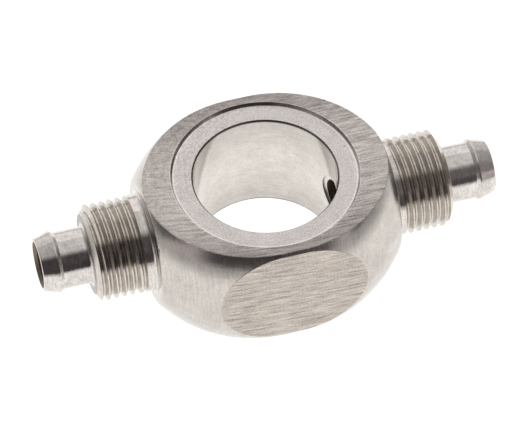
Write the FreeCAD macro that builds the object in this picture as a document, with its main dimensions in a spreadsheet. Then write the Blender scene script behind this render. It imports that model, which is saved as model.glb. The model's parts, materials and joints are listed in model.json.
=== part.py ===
"""Double banjo ring fitting with two threaded hose nipples, in millimetres.

The origin is the centre of the ring. +X runs through the right-hand nipple, +Z through the
main bore, and -Y looks out of the front wrench flat. The ring is a barrel turned about X
and milled flat on four sides. Each nipple is a separate turned piece, drilled through: its
plug fills half of the ring's cross-bore and stops a little short of the main bore. Its foot
flares where it is brazed to the ring's shoulder. The two threads start at different places.
"""
import FreeCAD, Part
import math
import os

import PartDesign
import Sketcher

DRIVING_SIZES = {
    # Ring
    "ring_height": 15.6,
    "barrel_diameter": 29.5,
    "barrel_land": 2.4,
    "barrel_crown_radius": 17.1,
    "shoulder_spread": 30.2,
    "shoulder_rounding": 1.2,
    "flat_spread": 25.6,
    "edge_break": 0.1,
    "bore_diameter": 17.5,
    "bore_chamfer": 0.17,
    "seat_diameter": 22.9,
    "seat_depth": 0.4,
    "seat_bevel": 0.2,
    # Nipple, with lengths from the ring's shoulder
    "plug_diameter": 6.2,
    "plug_setback": 0.2,
    "passage_diameter": 5.0,
    "thread_diameter": 12.0,
    "thread_pitch": 1.0,
    "thread_reach": 7.3,
    "thread_chamfer": 0.7,
    "thread_chamfer_depth": 1.1,
    "right_first_groove": 1.3,
    "left_first_groove": 1.73,
    "foot_step": 0.42,
    "foot_step_length": 0.04,
    "foot_radius": 0.38,
    "tube_diameter": 7.0,
    "root_radius": 0.45,
    "barb_diameter": 7.55,
    "barb_start": 10.9,
    "barb_step": 0.4,
    "barb_land": 0.15,
    "nipple_reach": 13.35,
    "tip_diameter": 6.45,
    "mouth_chamfer": 0.4,
    "edge_radius": 0.08,
}

GROOVE_DEPTH = 0.6134          # of a metric thread, in pitches
GROOVE_MOUTH = 0.875           # width of the groove at the crest, in pitches
FLANK_SLOPE = math.tan(math.radians(30))
GROOVE_OVERHANG = 0.08         # how far the cutter stands out of the crest, in pitches
RUNOUT_LENGTH = 0.75           # length over which the groove rises out, in pitches
RUNOUT_ANGLE = 45.0
SAME_PLACE = 0.01              # how close an edge lies to the place it is looked for at


class Size:
    """A length with its formula in the sheet, so that a feature can be bound to it."""

    def __init__(self, value, formula):
        self.value = value
        self.formula = formula

    def joined(self, other, sign, value):
        formula = other.formula if isinstance(other, Size) else f"{other:.6f}"
        return Size(value, f"({self.formula} {sign} {formula})")

    def __add__(self, other):
        return self.joined(other, "+", self.value + plain(other))

    def __sub__(self, other):
        return self.joined(other, "-", self.value - plain(other))

    def __mul__(self, other):
        return self.joined(other, "*", self.value * plain(other))

    def __truediv__(self, other):
        return self.joined(other, "/", self.value / plain(other))

    def __neg__(self):
        return Size(-self.value, f"(-{self.formula})")


ZERO = Size(0.0, "0")


def plain(length):
    return length.value if isinstance(length, Size) else length


def make_sheet(doc):
    """Write the driving sizes to a spreadsheet and return them as a dictionary of Sizes."""
    sheet = doc.addObject("Spreadsheet::Sheet", "dims")
    for row, (alias, value) in enumerate(DRIVING_SIZES.items(), start=1):
        sheet.set(f"A{row}", alias)
        sheet.set(f"B{row}", str(value))
        sheet.setAlias(f"B{row}", alias)
    doc.recompute()
    return {alias: Size(float(sheet.get(alias)), f"dims.{alias}") for alias in DRIVING_SIZES}


# Sketches -----------------------------------------------------------------------------


def origin_part(body, role):
    """One of the body's own origin planes or axes, such as XY_Plane or X_Axis."""
    return next(part for part in body.Origin.OriginFeatures if part.Role == role)


def new_sketch(body, name, plane):
    sketch = body.newObject("Sketcher::SketchObject", name)
    sketch.AttachmentSupport = [(origin_part(body, plane), "")]
    sketch.MapMode = "FlatFace"
    return sketch


def dimension(sketch, name, size, kind, *places):
    """Add a driving dimension and bind it to its size."""
    sketch.addConstraint(Sketcher.Constraint(kind, *places, size.value))
    sketch.renameConstraint(sketch.ConstraintCount - 1, name)
    sketch.setExpression(f"Constraints.{name}", size.formula)


def hold_point(sketch, name, edge, end, across, up):
    """Hold one end of a sketch edge at a distance across and up from the origin."""
    if across is ZERO:
        sketch.addConstraint(Sketcher.Constraint("PointOnObject", edge, end, -2))
    else:
        dimension(sketch, f"{name}_across", across, "DistanceX", -1, 1, edge, end)
    if up is ZERO:
        sketch.addConstraint(Sketcher.Constraint("PointOnObject", edge, end, -1))
    else:
        dimension(sketch, f"{name}_up", up, "DistanceY", -1, 1, edge, end)


def polygon_sketch(body, name, plane, corners):
    """A closed outline of straight edges; each corner is a pair of Sizes."""
    sketch = new_sketch(body, name, plane)
    points = [FreeCAD.Vector(across.value, up.value, 0) for across, up in corners]
    for start, end in zip(points, points[1:] + points[:1]):
        sketch.addGeometry(Part.LineSegment(start, end), False)
    count = len(corners)
    for index in range(count):
        following = (index + 1) % count
        sketch.addConstraint(Sketcher.Constraint("Coincident", index, 2, following, 1))
    for index, (across, up) in enumerate(corners):
        hold_point(sketch, f"corner{index}", index, 1, across, up)
    return sketch


def circle_sketch(body, name, plane, diameter):
    sketch = new_sketch(body, name, plane)
    circle = Part.Circle(FreeCAD.Vector(0, 0, 0), FreeCAD.Vector(0, 0, 1), diameter.value / 2)
    sketch.addGeometry(circle, False)
    sketch.addConstraint(Sketcher.Constraint("Coincident", 0, 3, -1, 1))
    dimension(sketch, "diameter", diameter, "Diameter", 0)
    return sketch


# Features -----------------------------------------------------------------------------


def turned(body, kind, name, sketch, axis):
    """A full turn of a sketch about an origin axis, as a Revolution or a Groove."""
    feature = body.newObject(f"PartDesign::{kind}", name)
    feature.Profile = sketch
    feature.ReferenceAxis = (origin_part(body, axis), [""])
    feature.Angle = 360
    return feature


def cut_through(body, name, sketch):
    """Cut a sketch through the whole body, both ways from its plane."""
    pocket = body.newObject("PartDesign::Pocket", name)
    pocket.Profile = sketch
    pocket.Type = "ThroughAll"
    pocket.SideType = "Symmetric"
    return pocket


def mirrored(body, name, feature, plane):
    mirror = body.newObject("PartDesign::Mirrored", name)
    mirror.Originals = [feature]
    mirror.MirrorPlane = (origin_part(body, plane), [""])
    body.Tip = mirror
    return mirror


def rounded(body, name, base, radius, wanted):
    """Round the edges of a feature that the test called wanted picks out."""
    body.Document.recompute()
    edges = [f"Edge{i}" for i, edge in enumerate(base.Shape.Edges, start=1) if wanted(edge)]
    fillet = body.newObject("PartDesign::Fillet", name)
    fillet.Base = (base, edges)
    fillet.Radius = radius.value
    fillet.setExpression("Radius", radius.formula)
    return fillet


# Ring ---------------------------------------------------------------------------------


def barrel_sketch(body, sizes):
    """Section of the barrel: a narrow land between two crowned ends with flat shoulders."""
    shoulder = sizes["shoulder_spread"] / 2
    land = sizes["barrel_land"] / 2
    top = sizes["barrel_diameter"] / 2
    crown = sizes["barrel_crown_radius"]
    centre_drop = top - crown
    crown_angle = math.asin((shoulder.value - land.value) / crown.value)
    shoulder_radius = centre_drop.value + crown.value * math.cos(crown_angle)
    left, right = -shoulder.value, shoulder.value
    corners = [(left, shoulder_radius), (left, 0), (right, 0), (right, shoulder_radius)]
    points = [FreeCAD.Vector(x, z, 0) for x, z in corners]

    sketch = new_sketch(body, "barrel_section", "XZ_Plane")
    for start, end in zip(points, points[1:]):
        sketch.addGeometry(Part.LineSegment(start, end), False)
    right_centre = FreeCAD.Vector(land.value, centre_drop.value, 0)
    left_centre = FreeCAD.Vector(-land.value, centre_drop.value, 0)
    normal = FreeCAD.Vector(0, 0, 1)
    quarter = math.pi / 2
    right_circle = Part.Circle(right_centre, normal, crown.value)
    left_circle = Part.Circle(left_centre, normal, crown.value)
    right_end = FreeCAD.Vector(land.value, top.value, 0)
    left_end = FreeCAD.Vector(-land.value, top.value, 0)
    sketch.addGeometry(Part.ArcOfCircle(right_circle, quarter - crown_angle, quarter), False)
    sketch.addGeometry(Part.LineSegment(right_end, left_end), False)
    sketch.addGeometry(Part.ArcOfCircle(left_circle, quarter, quarter + crown_angle), False)
    for first in range(6):
        following = (first + 1) % 6
        sketch.addConstraint(Sketcher.Constraint("Coincident", first, 2, following, 1))
    sketch.addConstraint(Sketcher.Constraint("Vertical", 0))
    sketch.addConstraint(Sketcher.Constraint("Vertical", 2))
    hold_point(sketch, "left_foot", 1, 1, -shoulder, ZERO)
    hold_point(sketch, "right_foot", 1, 2, shoulder, ZERO)
    hold_point(sketch, "right_land", 4, 1, land, top)
    hold_point(sketch, "left_land", 4, 2, -land, top)
    hold_point(sketch, "right_centre", 3, 3, land, centre_drop)
    hold_point(sketch, "left_centre", 5, 3, -land, centre_drop)
    return sketch


def slab_outline(edge, reach):
    """A rectangle from edge to reach, wide enough to mill one side of the barrel."""
    return [(-reach, edge), (reach, edge), (reach, reach), (-reach, reach)]


def ring_body(doc, sizes):
    body = doc.addObject("PartDesign::Body", "ring_body")
    body.Label = "ring_body"
    barrel = turned(body, "Revolution", "barrel", barrel_sketch(body, sizes), "X_Axis")
    shoulder = sizes["shoulder_spread"].value / 2

    def is_shoulder_rim(edge):
        if not isinstance(edge.Curve, Part.Circle):
            return False
        return abs(abs(edge.Curve.Center.x) - shoulder) < SAME_PLACE

    rounded(body, "shoulder_rounding", barrel, sizes["shoulder_rounding"], is_shoulder_rim)

    face = sizes["ring_height"] / 2
    reach = sizes["barrel_diameter"]
    top = polygon_sketch(body, "top_slab", "YZ_Plane", slab_outline(face, reach))
    top_flat = cut_through(body, "top_flat", top)
    mirrored(body, "bottom_flat", top_flat, "XY_Plane")

    front_edge = sizes["flat_spread"] / 2
    corners = [(up, across) for across, up in slab_outline(front_edge, reach)]
    side = polygon_sketch(body, "side_slab", "YZ_Plane", corners)
    side_flat = cut_through(body, "back_flat", side)
    milled = mirrored(body, "front_flat", side_flat, "XZ_Plane")

    def is_milled_edge(edge):
        box = edge.BoundBox
        on_face = box.ZLength < SAME_PLACE and abs(abs(box.ZMin) - face.value) < SAME_PLACE
        on_side = box.YLength < SAME_PLACE and abs(abs(box.YMin) - front_edge.value) < SAME_PLACE
        return on_face or on_side

    rounded(body, "edge_break", milled, sizes["edge_break"], is_milled_edge)

    # The lathe cuts the bore, its chamfer and the washer seat from each face in one setting.
    bore = sizes["bore_diameter"] / 2
    seat = sizes["seat_diameter"] / 2
    floor = face - sizes["seat_depth"]
    section = [
        (ZERO, ZERO),
        (bore, ZERO),
        (bore, floor - sizes["bore_chamfer"]),
        (bore + sizes["bore_chamfer"], floor),
        (seat - sizes["seat_bevel"], floor),
        (seat, face),
        (seat, reach),
        (ZERO, reach),
    ]
    upper = polygon_sketch(body, "bore_section", "XZ_Plane", section)
    upper_bore = turned(body, "Groove", "upper_bore", upper, "Z_Axis")
    mirrored(body, "lower_bore", upper_bore, "XY_Plane")

    cross = circle_sketch(body, "cross_bore_circle", "YZ_Plane", sizes["plug_diameter"])
    cut_through(body, "cross_bore", cross)
    return body


# Nipple -------------------------------------------------------------------------------


def nipple_section(sizes):
    """Half section of a nipple, from inside the ring's bore outwards, drilled through."""
    shoulder = sizes["shoulder_spread"] / 2
    plug = sizes["plug_diameter"] / 2
    passage = sizes["passage_diameter"] / 2
    thread = sizes["thread_diameter"] / 2
    tube = sizes["tube_diameter"] / 2
    barb = sizes["barb_diameter"] / 2
    tip = sizes["tip_diameter"] / 2
    mouth_chamfer = sizes["mouth_chamfer"]
    foot = shoulder + sizes["foot_step_length"]
    inner_end = sizes["bore_diameter"] / 4
    thread_end = shoulder + sizes["thread_reach"]
    barb_start = shoulder + sizes["barb_start"]
    barb_top = barb_start + sizes["barb_step"]
    end = shoulder + sizes["nipple_reach"]
    return [
        (inner_end, passage),
        (inner_end, plug),
        (shoulder, plug),
        (shoulder, thread + sizes["foot_step"]),
        (foot, thread + sizes["foot_step"]),
        (foot, thread),
        (thread_end - sizes["thread_chamfer"], thread),
        (thread_end, thread - sizes["thread_chamfer_depth"]),
        (thread_end, tube),
        (barb_start, tube),
        (barb_top, barb),
        (barb_top + sizes["barb_land"], barb),
        (end, tip),
        (end, passage + mouth_chamfer),
        (end - mouth_chamfer, passage),
    ]


def groove_section(sizes, first_groove):
    """Cutter of the thread: a 60 degree groove with a flat root, just past the shoulder."""
    pitch = sizes["thread_pitch"]
    crest = sizes["thread_diameter"] / 2
    place = sizes["shoulder_spread"] / 2 + first_groove
    root_half = pitch * (GROOVE_MOUTH / 2 - GROOVE_DEPTH * FLANK_SLOPE)
    top_half = pitch * (GROOVE_MOUTH / 2 + GROOVE_OVERHANG * FLANK_SLOPE)
    root = crest - pitch * GROOVE_DEPTH
    top = crest + pitch * GROOVE_OVERHANG
    return [
        (place - root_half, root),
        (place + root_half, root),
        (place + top_half, top),
        (place - top_half, top),
    ]


def helical_cut(body, name, sketch, sizes, length, angle, inward):
    helix = body.newObject("PartDesign::SubtractiveHelix", name)
    helix.Profile = sketch
    helix.ReferenceAxis = (origin_part(body, "X_Axis"), [""])
    helix.Mode = "pitch-height-angle"
    helix.Pitch = sizes["thread_pitch"].value
    helix.setExpression("Pitch", sizes["thread_pitch"].formula)
    helix.Height = length.value
    helix.setExpression("Height", length.formula)
    helix.Angle = angle
    helix.Growth = 0
    helix.LeftHanded = False
    helix.Reversed = inward
    return helix


def cut_thread(body, sizes, first_groove):
    """Right-hand thread: full turns out past the end, and a short runout at the shank."""
    pitch = sizes["thread_pitch"]
    full = sizes["thread_reach"] - first_groove + pitch
    outward = polygon_sketch(body, "groove_outward", "XZ_Plane", groove_section(sizes, first_groove))
    helical_cut(body, "thread", outward, sizes, full, 0.0, False)
    inward = polygon_sketch(body, "groove_inward", "XZ_Plane", groove_section(sizes, first_groove))
    runout = pitch * RUNOUT_LENGTH
    helical_cut(body, "thread_runout", inward, sizes, runout, RUNOUT_ANGLE, True)


def is_rim(edge, place, radius):
    """Whether an edge is the circle about X at this place, with this radius."""
    if not isinstance(edge.Curve, Part.Circle):
        return False
    offset = abs(edge.Curve.Center.x - place.value)
    return offset < SAME_PLACE and abs(edge.Curve.Radius - radius.value) < SAME_PLACE


def hose_nipple(doc, sizes, label, first_groove, turn):
    """One nipple, made on +X and then turned about Z by an angle in degrees.

    first_groove is how far its thread starts from the shoulder, at the top.
    """
    body = doc.addObject("PartDesign::Body", label)
    body.Label = label
    section = polygon_sketch(body, "nipple_section", "XZ_Plane", nipple_section(sizes))
    blank = turned(body, "Revolution", "turned_blank", section, "X_Axis")

    shoulder = sizes["shoulder_spread"] / 2
    thread_end = shoulder + sizes["thread_reach"]
    tube = sizes["tube_diameter"] / 2

    def is_root(edge):
        return is_rim(edge, thread_end, tube)

    def is_foot(edge):
        return is_rim(edge, shoulder + sizes["foot_step_length"], sizes["thread_diameter"] / 2)

    foot = rounded(body, "foot_fillet", blank, sizes["foot_radius"], is_foot)
    root = rounded(body, "root_fillet", foot, sizes["root_radius"], is_root)
    barb_top = shoulder + sizes["barb_start"] + sizes["barb_step"]
    end = shoulder + sizes["nipple_reach"]

    def is_worn(edge):
        on_barb = is_rim(edge, barb_top, sizes["barb_diameter"] / 2)
        return on_barb or is_rim(edge, end, sizes["tip_diameter"] / 2)

    rounded(body, "worn_rims", root, sizes["edge_radius"], is_worn)
    cut_thread(body, sizes, first_groove)

    # The inner end follows the main bore, set back so that it clears the hollow bolt.
    trim = sizes["bore_diameter"] + sizes["plug_setback"] * 2
    circle = circle_sketch(body, "bore_circle", "XY_Plane", trim)
    cut_through(body, "bore_trim", circle)
    body.Placement = FreeCAD.Placement(
        FreeCAD.Vector(0, 0, 0), FreeCAD.Rotation(FreeCAD.Vector(0, 0, 1), turn)
    )
    return body


# Checks and export --------------------------------------------------------------------


def check_document(doc, bodies):
    for item in doc.Objects:
        if {"Invalid", "Error"} & set(item.State):
            raise RuntimeError(f"{item.Label} failed: {item.State}")
    for body in bodies:
        for feature in body.Group:
            if hasattr(feature, "FullyConstrained") and not feature.FullyConstrained:
                raise RuntimeError(f"{body.Label}: sketch {feature.Name} is loose")
        shape = body.Shape
        if shape.isNull() or not shape.isValid() or len(shape.Solids) != 1:
            raise RuntimeError(f"{body.Label} isn't one valid solid")
        check_cuts(body)


def check_cuts(body):
    """Every cut has to take material away from the feature before it."""
    cuts = ("PartDesign::Pocket", "PartDesign::Groove", "PartDesign::SubtractiveHelix")
    for feature in body.Group:
        if feature.TypeId in cuts and feature.Shape.Volume >= feature.BaseFeature.Shape.Volume:
            raise RuntimeError(f"{body.Label}: {feature.Name} cuts nothing")


def main():
    doc = FreeCAD.newDocument("banjo_fitting")
    sizes = make_sheet(doc)
    bodies = [
        ring_body(doc, sizes),
        hose_nipple(doc, sizes, "hose_nipple_right", sizes["right_first_groove"], 0),
        hose_nipple(doc, sizes, "hose_nipple_left", sizes["left_first_groove"], 180),
    ]
    doc.recompute()
    check_document(doc, bodies)
    os.makedirs("parts", exist_ok=True)
    for body in bodies:
        body.Shape.exportStep(os.path.join("parts", f"{body.Label}.step"))
        print(f"{body.Label}: {body.Shape.Volume:.1f} cubic mm")


main()
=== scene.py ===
"""Looks of the double banjo hose fitting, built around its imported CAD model, in metres.

The part lies on a white table under broad soft light. The front of the room is dark, so
polished metal shows a dark band above the table's reflection, as bright turned steel does.
"""

import json
import math
from functools import partial, reduce

import bpy
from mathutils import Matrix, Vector


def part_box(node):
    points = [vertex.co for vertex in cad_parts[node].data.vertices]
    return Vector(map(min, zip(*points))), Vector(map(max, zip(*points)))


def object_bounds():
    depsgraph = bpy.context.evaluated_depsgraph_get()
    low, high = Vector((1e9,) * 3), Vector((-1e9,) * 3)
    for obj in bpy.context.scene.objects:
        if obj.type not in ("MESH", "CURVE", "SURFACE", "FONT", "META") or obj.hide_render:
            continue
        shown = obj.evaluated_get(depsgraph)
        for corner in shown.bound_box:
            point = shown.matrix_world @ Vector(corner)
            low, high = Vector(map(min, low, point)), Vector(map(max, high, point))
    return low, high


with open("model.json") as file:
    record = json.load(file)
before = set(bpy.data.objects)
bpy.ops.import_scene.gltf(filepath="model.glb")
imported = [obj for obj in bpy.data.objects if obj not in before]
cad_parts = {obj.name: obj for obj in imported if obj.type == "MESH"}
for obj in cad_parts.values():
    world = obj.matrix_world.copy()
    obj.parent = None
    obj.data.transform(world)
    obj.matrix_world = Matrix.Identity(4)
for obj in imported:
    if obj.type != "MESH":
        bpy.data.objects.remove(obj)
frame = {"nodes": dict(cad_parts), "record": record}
cad_low, cad_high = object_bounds()

MM = 0.001
RING = "ring_body"
NIPPLES = ("hose_nipple_left", "hose_nipple_right")

# Camera ---------------------------------------------------------------------------------

CAMERA_AZIMUTH = -16.0
CAMERA_ELEVATION = 50.4
CAMERA_DISTANCE = 480 * MM
PIXELS_PER_MM = 8.22            # at the part's centre
IMAGE_WIDTH = 516
CLIP_START, CLIP_END = 0.01, 20.0
AIM_RIGHT = -0.885 * MM
AIM_UP = -0.37 * MM


def make_camera():
    """A camera that looks down on the part from the front, a little from the left."""
    azimuth, elevation = math.radians(CAMERA_AZIMUTH), math.radians(CAMERA_ELEVATION)
    back = Vector((
        math.sin(azimuth) * math.cos(elevation),
        -math.cos(azimuth) * math.cos(elevation),
        math.sin(elevation),
    ))
    right = Vector((math.cos(azimuth), math.sin(azimuth), 0))
    up = back.cross(right)
    data = bpy.data.cameras.new("camera")
    camera = bpy.data.objects.new("camera", data)
    bpy.context.collection.objects.link(camera)
    camera.location = back * CAMERA_DISTANCE + right * AIM_RIGHT + up * AIM_UP
    camera.rotation_mode = "QUATERNION"
    camera.rotation_quaternion = (-back).to_track_quat("-Z", "Y")
    focal_pixels = PIXELS_PER_MM * CAMERA_DISTANCE / MM
    data.lens = focal_pixels / IMAGE_WIDTH * data.sensor_width
    data.clip_start = CLIP_START
    data.clip_end = CLIP_END
    bpy.context.scene.camera = camera


# Node helpers ---------------------------------------------------------------------------


class Nodes:
    """Short forms for building one node tree."""

    def __init__(self, tree):
        self.tree = tree
        tree.nodes.clear()

    def add(self, kind, inputs=None, **settings):
        node = self.tree.nodes.new(kind)
        for name, value in settings.items():
            setattr(node, name, value)
        for name, value in (inputs or {}).items():
            self.feed(node.inputs[name], value)
        return node

    def feed(self, socket, value):
        if isinstance(value, bpy.types.NodeSocket):
            self.tree.links.new(value, socket)
        else:
            socket.default_value = value

    def math(self, operation, *values):
        node = self.add("ShaderNodeMath", operation=operation)
        for socket, value in zip(node.inputs, values):
            self.feed(socket, value)
        return node.outputs[0]

    def sum(self, *values):
        return reduce(partial(self.math, "ADD"), values)

    def product(self, *values):
        return reduce(partial(self.math, "MULTIPLY"), values)

    def difference(self, first, second):
        return self.math("SUBTRACT", first, second)

    def greater(self, first, second):
        return self.math("MAXIMUM", first, second)

    def lesser(self, first, second):
        return self.math("MINIMUM", first, second)

    def hypotenuse(self, first, second):
        squares = [self.product(side, side) for side in (first, second)]
        return self.math("SQRT", self.sum(*squares))

    def without(self, value):
        return self.difference(1.0, value)

    def ramp(self, value, low, high, smooth=True):
        """0 below low and 1 above high."""
        inputs = {"Value": value, "From Min": low, "From Max": high}
        kind = "SMOOTHSTEP" if smooth else "LINEAR"
        return self.add("ShaderNodeMapRange", inputs, interpolation_type=kind).outputs[0]

    def straight(self, value, low, high):
        return self.ramp(value, low, high, smooth=False)

    def above(self, value, limit, soft):
        return self.ramp(value, limit - soft, limit + soft)

    def below(self, value, limit, soft):
        return self.without(self.above(value, limit, soft))

    def between(self, factor, first, second):
        """A number that goes from first to second as factor goes from 0 to 1."""
        inputs = {"Value": factor, "To Min": first, "To Max": second}
        return self.add("ShaderNodeMapRange", inputs).outputs[0]

    def mix_colour(self, factor, first, second):
        node = self.add("ShaderNodeMix", data_type="RGBA")
        for index, value in ((0, factor), (6, first), (7, second)):
            self.feed(node.inputs[index], value)
        return node.outputs[2]

    def scaled(self, colour, factor):
        inputs = {0: colour, "Scale": factor}
        return self.add("ShaderNodeVectorMath", inputs, operation="SCALE").outputs[0]

    def noise(self, vector, scale, detail=2.0, roughness=0.5):
        return self.add("ShaderNodeTexNoise", {
            "Vector": vector, "Scale": scale, "Detail": detail, "Roughness": roughness,
        }).outputs["Fac"]

    def steps(self, value, stops):
        """A number read off straight lines between stops, for a value from -1 to 1."""
        ramp = self.add("ShaderNodeValToRGB", {"Fac": self.straight(value, -1.0, 1.0)})
        points = ramp.color_ramp.elements
        while len(points) < len(stops):
            points.new(0.5)
        for point, (place, level) in zip(points, stops):
            point.position = (place + 1) / 2
            point.color = (level, level, level, 1)
        return ramp.outputs["Color"]

    def combine(self, x, y, z):
        return self.add("ShaderNodeCombineXYZ", {"X": x, "Y": y, "Z": z}).outputs[0]


# Studio ---------------------------------------------------------------------------------

TABLE_SIZE = 12.0
TABLE_SHADE = (0.25, 0.25, 0.25, 1)
TABLE_WHITE = (1, 0.985, 0.965, 1)
LIT_RADIUS = 58 * MM            # the table is evenly lit this far from the part
TABLE_FAR = 0.40                # and falls to this brightness farther out

BACKDROP = (1, 1, 1, 1)
BRIGHT = (1.0, 0.975, 0.955)    # colour of the light from overhead
DIM = (1.0, 0.90, 0.90)         # and of the light from the front
# Brightness from left to right, by the sideways part of the direction: overhead, where it
# fades to the sides, and in front, where it is dark between two strip lights that grow
# brighter near the floor.
OVERHEAD = (
    (-0.95, 0.14), (-0.77, 0.42), (-0.50, 0.62), (-0.33, 0.70), (-0.10, 0.95),
    (0.20, 1.00), (0.40, 0.88), (0.61, 0.64), (0.80, 0.35), (0.95, 0.15),
)
FRONT_HIGH = (
    (-0.90, 0.12), (-0.80, 0.20), (-0.65, 0.10), (-0.40, 0.06), (0.14, 0.06),
    (0.23, 0.19), (0.50, 0.12), (0.70, 0.30), (0.84, 0.12),
)
FRONT_LOW = (
    (-0.97, 0.62), (-0.88, 0.60), (-0.80, 0.22), (-0.68, 0.07), (0.14, 0.05),
    (0.23, 0.10), (0.50, 0.12), (0.60, 0.36), (0.69, 0.62), (0.76, 0.40), (0.84, 0.12),
)
# Leans are in degrees in front of the zenith.
FRONT_PANEL = (-37.0, -33.0)    # where the rear panel overhead gives way to the front one
FRONT_PANEL_LIGHT = 0.76
SEAMS = ((-35.0, 2.5, 0.40), (0.0, 2.5, 0.15))      # lean, half width and depth
DARK_BEGINS = (6.0, 32.0)
LOW_BEGINS = (58.0, 70.0)


def new_material(name):
    material = bpy.data.materials.new(name)
    material.use_nodes = True
    return material, Nodes(material.node_tree)


def make_table():
    """A white table that glows, evenly round the part and weaker farther out."""
    bpy.ops.mesh.primitive_plane_add(size=TABLE_SIZE, location=(0, 0, cad_low.z))
    table = bpy.context.object
    table.name = "table_top"
    material, nodes = new_material("white_table")
    place = nodes.add("ShaderNodeTexCoord").outputs["Object"]
    distance = nodes.add("ShaderNodeVectorMath", {0: place}, operation="LENGTH").outputs["Value"]
    fading = nodes.math("DIVIDE", LIT_RADIUS, distance)
    lit = nodes.greater(nodes.lesser(fading, 1.0), TABLE_FAR)
    shade = nodes.add("ShaderNodeBsdfDiffuse", {"Color": TABLE_SHADE}).outputs[0]
    glow = nodes.add("ShaderNodeEmission", {"Color": TABLE_WHITE, "Strength": lit}).outputs[0]
    both = nodes.add("ShaderNodeAddShader", {0: shade, 1: glow}).outputs[0]
    nodes.add("ShaderNodeOutputMaterial", {"Surface": both})
    table.data.materials.append(material)


def make_room():
    """Light panels overhead and behind, dim sides, and a dark front with two strip lights."""
    world = bpy.data.worlds.new("studio")
    bpy.context.scene.world = world
    world.use_nodes = True
    nodes = Nodes(world.node_tree)
    direction = nodes.add("ShaderNodeTexCoord").outputs["Generated"]
    x, y, z = nodes.add("ShaderNodeSeparateXYZ", {"Vector": direction}).outputs
    lean = nodes.math("DEGREES", nodes.math("ARCTAN2", nodes.product(y, -1.0), z))
    front_panel = nodes.ramp(lean, *FRONT_PANEL)
    light = nodes.product(
        nodes.steps(x, OVERHEAD), nodes.between(front_panel, 1.0, FRONT_PANEL_LIGHT))
    for seam, half_width, depth in SEAMS:
        gap = nodes.math("ABSOLUTE", nodes.difference(lean, seam))
        line = nodes.without(nodes.ramp(gap, 0.0, half_width))
        light = nodes.product(light, nodes.between(line, 1.0, 1.0 - depth))
    high_and_low = nodes.steps(x, FRONT_HIGH), nodes.steps(x, FRONT_LOW)
    front_light = nodes.mix_colour(nodes.ramp(lean, *LOW_BEGINS), *high_and_low)
    colour = nodes.mix_colour(
        nodes.ramp(lean, *DARK_BEGINS), nodes.scaled(BRIGHT, light), nodes.scaled(DIM, front_light))
    seen = nodes.add("ShaderNodeLightPath").outputs["Is Camera Ray"]
    colour = nodes.mix_colour(seen, colour, BACKDROP)
    background = nodes.add("ShaderNodeBackground", {"Color": colour, "Strength": 1.0})
    nodes.add("ShaderNodeOutputWorld", {"Surface": background.outputs[0]})


# Steel ----------------------------------------------------------------------------------
#
# All lengths in the materials are in millimetres, measured from the ring's centre. A mark's
# edge is a radius or a height, and its softness is the half width of the change.

mounts = {mount["name"]: mount["dims"] for mount in frame["record"]["mounts"]}
ring_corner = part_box(RING)[1] / MM

BORE_RADIUS = mounts["banjo_bolt_bore"]["r_mm"]
PASSAGE_RADIUS = mounts["right_passage"]["r_mm"]
MOUTH_RADIUS = PASSAGE_RADIUS + 0.38
THREAD_RADIUS = mounts["right_nut_thread"]["r_mm"]
THREAD_START = ring_corner.x + 0.6
THREAD_END = ring_corner.x + mounts["right_nut_thread"]["length_mm"]
SPIGOT_FOOT = 3.9               # the end face between thread and spigot lies outside this
PLUG_END = ring_corner.x - 0.3
SEAT_RADIUS = 11.45
SEAT_FLOOR = ring_corner.z - 0.4
BARREL_RADIUS = 14.75
BARREL_LAND = 1.2
BARREL_CROWN = 17.1
LAY_CENTRE = (10.0, 120.0)      # the milling cutter swept its lines about this point
FACE_SKIN = 0.04                # a point this close to a flat face belongs to it

# Each finish: colour, roughness, contrast of the tool's lines, and their depth.
BARREL = ((0.600, 0.565, 0.535, 1), 0.17, 0.22, 0.003)
MILLED = ((0.560, 0.520, 0.500, 1), 0.44, 1.00, 0.020)
WRENCH_FLAT = ((0.550, 0.502, 0.458, 1), 0.44, 0.90, 0.020)
SEAT = ((0.720, 0.682, 0.670, 1), 0.34, 0.20, 0.004)
BORE = ((0.720, 0.683, 0.648, 1), 0.13, 0.14, 0.001)
TURNED = ((0.690, 0.655, 0.635, 1), 0.13, 0.34, 0.004)
# Painted shade: the thread's grooves, the end face and the passage are coloured darker than the
# turned steel.
GROOVE_SHADED = ((0.610, 0.572, 0.525, 1), 0.16, 0.20, 0.002)
END_FACE_SHADED = ((0.560, 0.530, 0.500, 1), 0.50, 0.40, 0.004)
PASSAGE_SHADE = ((0.230, 0.182, 0.138, 1), 0.50, 0.20, 0.004)

# How fine the patterns are, in features per millimetre.
MILLED_FINENESS = 3.0
TURNED_FINENESS = 3.6
RING_GRAIN, RING_CLOUD, RING_BLOTCHES = 4.6, 0.45, 2.0
NIPPLE_GRAIN, NIPPLE_CLOUD = 3.0, 0.8
PIT_CELLS, SHADE_PATCHES = 0.28, 0.20

# Where the marks lie: pits and mottling, and painted shade, glints and highlights.
GLINT_WIDTH = 0.45          # of the painted glint band along the seat's edge
CORNER_SHADE_WIDTH = 0.26              # of the painted shade on the seat's floor, in its corner
SHADE_DEPTH = 0.30              # how far below the seat's floor any painted shade reaches
RIM_WIDTH, RIM_DEPTH = 0.17, 0.34       # of the painted shade along the bore's rim
EDGE_HIGHLIGHT_WIDTH = 0.09               # of the painted highlight along the milled edges
EDGE_HIGHLIGHT_RAGGED = 0.06              # how much the grain makes it waver
PIT_CHANCE = 0.38               # of a pit in each cell
PIT_SIZE = 0.035                # its radius, as a part of the cell
BORE_DARK_REACH = 7.4               # the bore darkens from its middle to this height
SHEEN_REACH = (3.0, 12.5)        # the milled faces go from painted sheen to painted shade between these, towards the flats
MOTTLED_REACH = (4.0, 18.0)     # and mottled between these, towards -X and +Y

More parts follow.
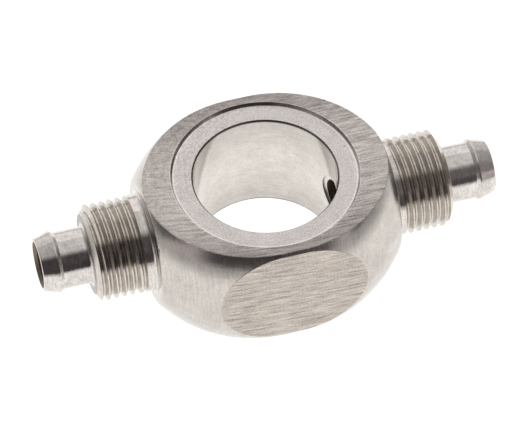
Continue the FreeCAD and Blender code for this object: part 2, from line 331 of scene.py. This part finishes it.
# How strongly they show.
SHEEN_TONES = (1.13, 0.80)
MOTTLED_SWING = 0.50
MOTTLED_CONTRAST = 0.45         # of the milling lines there, as a part of theirs elsewhere
GRAIN_SWING = (0.20, 0.50)      # on the fine finishes and on the rough ones
CLOUD_SWING = 0.18
SHADE_LEAST = 0.35              # of the painted shade in the seat's corner, between its patches
EDGE_HIGHLIGHT_TONE = 0.08                # added to the metal's brightness
# What these marks multiply it by.
GLINT_TONE = 1.30
BORE_DARK_TONE = 0.80
PIT_TONE = 0.25
SHADE_TONE = 0.40
# How deep they are.
GRAIN_DEPTH = 0.0015
PIT_DEPTH = 0.03


def blend_finish(nodes, mask, first, second):
    """Two finishes mixed number by number."""
    colour = nodes.mix_colour(mask, first[0], second[0])
    return (colour,) + tuple(nodes.between(mask, a, b) for a, b in zip(first[1:], second[1:]))


class Place:
    """Where a point of the part lies: its coordinates, and its radius about the two axes."""

    def __init__(self, nodes):
        metres = nodes.add("ShaderNodeTexCoord").outputs["Object"]
        self.vector = nodes.scaled(metres, 1 / MM)
        self.x, self.y, self.z = nodes.add("ShaderNodeSeparateXYZ", {0: self.vector}).outputs
        self.length = nodes.math("ABSOLUTE", self.x)
        self.side = nodes.math("ABSOLUTE", self.y)
        self.height = nodes.math("ABSOLUTE", self.z)
        self.about_z = nodes.hypotenuse(self.x, self.y)
        self.about_x = nodes.hypotenuse(self.y, self.z)


def tool_lines(nodes, vector, scale):
    """From 0 in the cuts to 1 on the ridges."""
    broad = nodes.noise(vector, scale, 2.0, 0.6)
    fine = nodes.noise(vector, scale * 3.1, 1.0, 0.5)
    both = nodes.sum(nodes.product(broad, 0.65), nodes.product(fine, 0.35))
    return nodes.straight(both, 0.32, 0.68)


def milled_lines(nodes, place):
    """Lines of a milling cutter, in wide arcs roughly along X, on the top and on the flats."""
    across = nodes.difference(LAY_CENTRE[1], nodes.sum(place.y, place.z))
    along = nodes.difference(place.x, LAY_CENTRE[0])
    radius = nodes.hypotenuse(along, across)
    swept = nodes.product(nodes.math("ARCTAN2", along, across), LAY_CENTRE[1] * 0.08)
    return tool_lines(nodes, nodes.combine(swept, radius, 0.0), MILLED_FINENESS)


def turned_lines(nodes, axial, first, second, radius):
    """Rings of a lathe about an axis; first and second are the coordinates across it."""
    around_a = nodes.math("DIVIDE", first, radius)
    around_b = nodes.math("DIVIDE", second, radius)
    across = nodes.sum(axial, radius)
    return tool_lines(nodes, nodes.combine(across, around_a, around_b), TURNED_FINENESS)


def lines_about_x(nodes, place):
    return turned_lines(nodes, place.x, place.y, place.z, place.about_x)


def lines_about_z(nodes, place):
    return turned_lines(nodes, place.z, place.x, place.y, place.about_z)


def speckle(nodes, place, scale):
    return nodes.straight(nodes.noise(place.vector, scale, 3.0, 0.7), 0.3, 0.7)


def varied(nodes, *parts):
    """1 plus every part's swing about its middle.

    A part is a number from 0 to 1, and its swing.
    """
    total = 1.0
    for value, swing in parts:
        total = nodes.sum(nodes.product(nodes.difference(value, 0.5), swing), total)
    return total


def pits(nodes, place):
    """A few tiny pits, at most one in each cell some millimetres wide."""
    cells = nodes.add("ShaderNodeTexVoronoi", {"Vector": place.vector, "Scale": PIT_CELLS})
    draw = nodes.add("ShaderNodeSeparateXYZ", {0: cells.outputs["Color"]}).outputs[0]
    chosen = nodes.above(draw, 1 - PIT_CHANCE, 0.01)
    return nodes.product(chosen, nodes.below(cells.outputs["Distance"], PIT_SIZE, 0.012))


def edge_distance(nodes, place):
    """How far a point of the ring's outside is from the nearest milled edge."""
    beyond_land = nodes.greater(nodes.difference(place.length, BARREL_LAND), 0.0)
    squared = nodes.difference(BARREL_CROWN ** 2, nodes.math("POWER", beyond_land, 2.0))
    barrel = nodes.sum(nodes.math("SQRT", squared), BARREL_RADIUS - BARREL_CROWN)
    below_barrel = nodes.difference(barrel, place.about_x)
    below_top = nodes.difference(ring_corner.z, place.height)
    below_flat = nodes.difference(ring_corner.y, place.side)
    low = nodes.lesser(below_barrel, below_top)
    high = nodes.greater(below_barrel, below_top)
    return nodes.greater(low, nodes.lesser(high, below_flat))


def milled_face_sheen(nodes, place, on_top, in_seat):
    """Painted sheen and shade: the milled faces above and below are darker towards the flats than
    towards the nipples.
    """
    shade = nodes.between(nodes.ramp(place.side, *SHEEN_REACH), *SHEEN_TONES)
    return nodes.between(nodes.product(on_top, nodes.without(in_seat)), 1.0, shade)


def seat_edge_glint(nodes, place):
    """A painted glint: a brighter band along the seat's edge."""
    return nodes.product(
        nodes.above(place.about_z, SEAT_RADIUS - GLINT_WIDTH, 0.03),
        nodes.below(place.about_z, SEAT_RADIUS + 0.1, 0.04),
    )


def seat_and_rim_shade(nodes, place):
    """Painted shade, in patches in the corner of the seat and all along the rim of the bore."""
    patches = nodes.straight(nodes.noise(place.vector, SHADE_PATCHES, 1.0), 0.42, 0.58)
    on_step = nodes.product(
        nodes.above(place.about_z, SEAT_RADIUS - CORNER_SHADE_WIDTH, 0.04),
        nodes.below(place.height, ring_corner.z - 0.06, 0.04),
        nodes.below(place.about_z, SEAT_RADIUS + 0.02, 0.02),
        nodes.between(patches, SHADE_LEAST, 1.0),
    )
    on_rim = nodes.product(
        nodes.below(place.about_z, BORE_RADIUS + RIM_WIDTH, 0.03),
        nodes.above(place.height, SEAT_FLOOR - RIM_DEPTH, 0.05),
    )
    high_enough = nodes.above(place.height, SEAT_FLOOR - SHADE_DEPTH, 0.05)
    return nodes.product(nodes.greater(on_step, on_rim), high_enough)


def finish_material(nodes, colour, roughness, relief):
    """Metal with this colour and roughness, and a relief in millimetres."""
    bump = nodes.add("ShaderNodeBump", {"Height": relief, "Distance": MM, "Strength": 1.0})
    shader = nodes.add("ShaderNodeBsdfPrincipled", {
        "Base Color": colour, "Metallic": 1.0, "Roughness": roughness, "Normal": bump.outputs[0],
    })
    nodes.add("ShaderNodeOutputMaterial", {"Surface": shader.outputs[0]})


def ring_steel():
    """Milled faces, a turned barrel and a turned seat, with tool lines and pits, and painted shade,
    glints and highlights.
    """
    material, nodes = new_material("milled_ring_steel")
    place = Place(nodes)
    on_top = nodes.above(place.height, ring_corner.z - FACE_SKIN, 0.02)
    on_flat = nodes.above(place.side, ring_corner.y - FACE_SKIN, 0.02)
    in_seat = nodes.below(place.about_z, SEAT_RADIUS - 0.02, 0.04)
    in_bore = nodes.below(place.about_z, BORE_RADIUS + 0.05, 0.03)
    milled = nodes.greater(on_top, on_flat)
    rough = nodes.difference(nodes.greater(milled, in_seat), in_bore)

    lines = nodes.between(milled, lines_about_x(nodes, place), milled_lines(nodes, place))
    lines = nodes.between(in_seat, lines, lines_about_z(nodes, place))
    finish = BARREL
    for mask, other in (
            (on_top, MILLED), (on_flat, WRENCH_FLAT), (in_seat, SEAT), (in_bore, BORE)):
        finish = blend_finish(nodes, mask, finish, other)
    colour, roughness, contrast, depth = finish

    grain, cloud = speckle(nodes, place, RING_GRAIN), speckle(nodes, place, RING_CLOUD)
    edge = nodes.sum(edge_distance(nodes, place), nodes.product(grain, EDGE_HIGHLIGHT_RAGGED))
    # A painted highlight: a bright line along the milled edges.
    edge_highlight = nodes.product(nodes.below(edge, EDGE_HIGHLIGHT_WIDTH, 0.05), nodes.without(in_seat))
    # Painted shade in the seat's corner and along the bore's rim; the pits are real.
    holes, painted_shade = pits(nodes, place), seat_and_rim_shade(nodes, place)
    # A painted glint along the seat's edge, left out where the painted shade lies.
    seat_glint = nodes.product(seat_edge_glint(nodes, place), nodes.without(painted_shade))
    # Darker towards both ends of the bore.
    bore_darkening = nodes.product(in_bore, nodes.ramp(place.height, 0.0, BORE_DARK_REACH))
    mottled = nodes.ramp(nodes.difference(place.y, place.x), *MOTTLED_REACH)

    tone = varied(
        nodes,
        (lines, nodes.product(contrast, nodes.between(mottled, 1.0, MOTTLED_CONTRAST))),
        (grain, nodes.between(rough, *GRAIN_SWING)),
        (cloud, CLOUD_SWING),
        (speckle(nodes, place, RING_BLOTCHES), nodes.product(rough, mottled, MOTTLED_SWING)),
    )
    tone = nodes.sum(tone, nodes.product(edge_highlight, EDGE_HIGHLIGHT_TONE))
    # Painted sheen and shade on the milled faces: brighter towards the nipples, darker towards the
    # flats.
    tone = nodes.product(tone, milled_face_sheen(nodes, place, on_top, in_seat))
    for mark, level in (
            (seat_glint, GLINT_TONE), (bore_darkening, BORE_DARK_TONE), (holes, PIT_TONE), (painted_shade, SHADE_TONE)):
        tone = nodes.product(tone, nodes.between(mark, 1.0, level))

    roughness = nodes.product(roughness, varied(nodes, (lines, 0.25), (cloud, 0.2)))
    relief = nodes.sum(nodes.product(lines, depth), nodes.product(grain, GRAIN_DEPTH))
    relief = nodes.difference(relief, nodes.product(holes, PIT_DEPTH))
    finish_material(nodes, nodes.scaled(colour, tone), roughness, relief)
    return material


def nipple_steel():
    """Bright turned steel, rougher and with painted shade in the thread's grooves, on the end face
    and inside.
    """
    material, nodes = new_material("bright_turned_steel")
    place = Place(nodes)
    sunk = nodes.difference(THREAD_RADIUS, place.about_x)
    groove = nodes.product(
        nodes.above(place.length, THREAD_START, 0.02),
        nodes.below(place.length, THREAD_END - 0.02, 0.02),
        nodes.ramp(sunk, 0.01, 0.06),
    )
    plug = nodes.below(place.length, PLUG_END, 0.2)
    end_face = nodes.product(
        nodes.above(place.length, THREAD_END - FACE_SKIN, 0.02),
        nodes.above(place.about_x, SPIGOT_FOOT, 0.2),
    )
    mouth = nodes.product(
        nodes.below(place.about_x, MOUTH_RADIUS, 0.02),
        nodes.above(place.length, THREAD_END, 0.2),
    )
    inside = nodes.greater(mouth, nodes.below(place.about_x, PASSAGE_RADIUS + 0.06, 0.04))

    finish = TURNED
    # The grooves, the end face and the passage get darker colours: painted shade.
    for mask, other in ((groove, GROOVE_SHADED), (plug, BORE), (end_face, END_FACE_SHADED), (inside, PASSAGE_SHADE)):
        finish = blend_finish(nodes, mask, finish, other)
    colour, roughness, contrast, depth = finish

    lines = lines_about_x(nodes, place)
    grain, cloud = speckle(nodes, place, NIPPLE_GRAIN), speckle(nodes, place, NIPPLE_CLOUD)
    tone = varied(nodes, (lines, contrast), (grain, 0.20), (cloud, 0.24))
    roughness = nodes.product(roughness, varied(nodes, (lines, 0.3), (cloud, 0.5)))
    relief = nodes.sum(nodes.product(lines, depth), nodes.product(grain, 0.001))
    finish_material(nodes, nodes.scaled(colour, tone), roughness, relief)
    return material


def make_steel():
    ring, nipple = ring_steel(), nipple_steel()
    frame["nodes"][RING].material_slots[0].material = ring
    for node in NIPPLES:
        frame["nodes"][node].material_slots[0].material = nipple


def main():
    scene = bpy.context.scene
    scene.view_settings.view_transform = "Standard"
    make_camera()
    make_table()
    make_room()
    make_steel()


main()
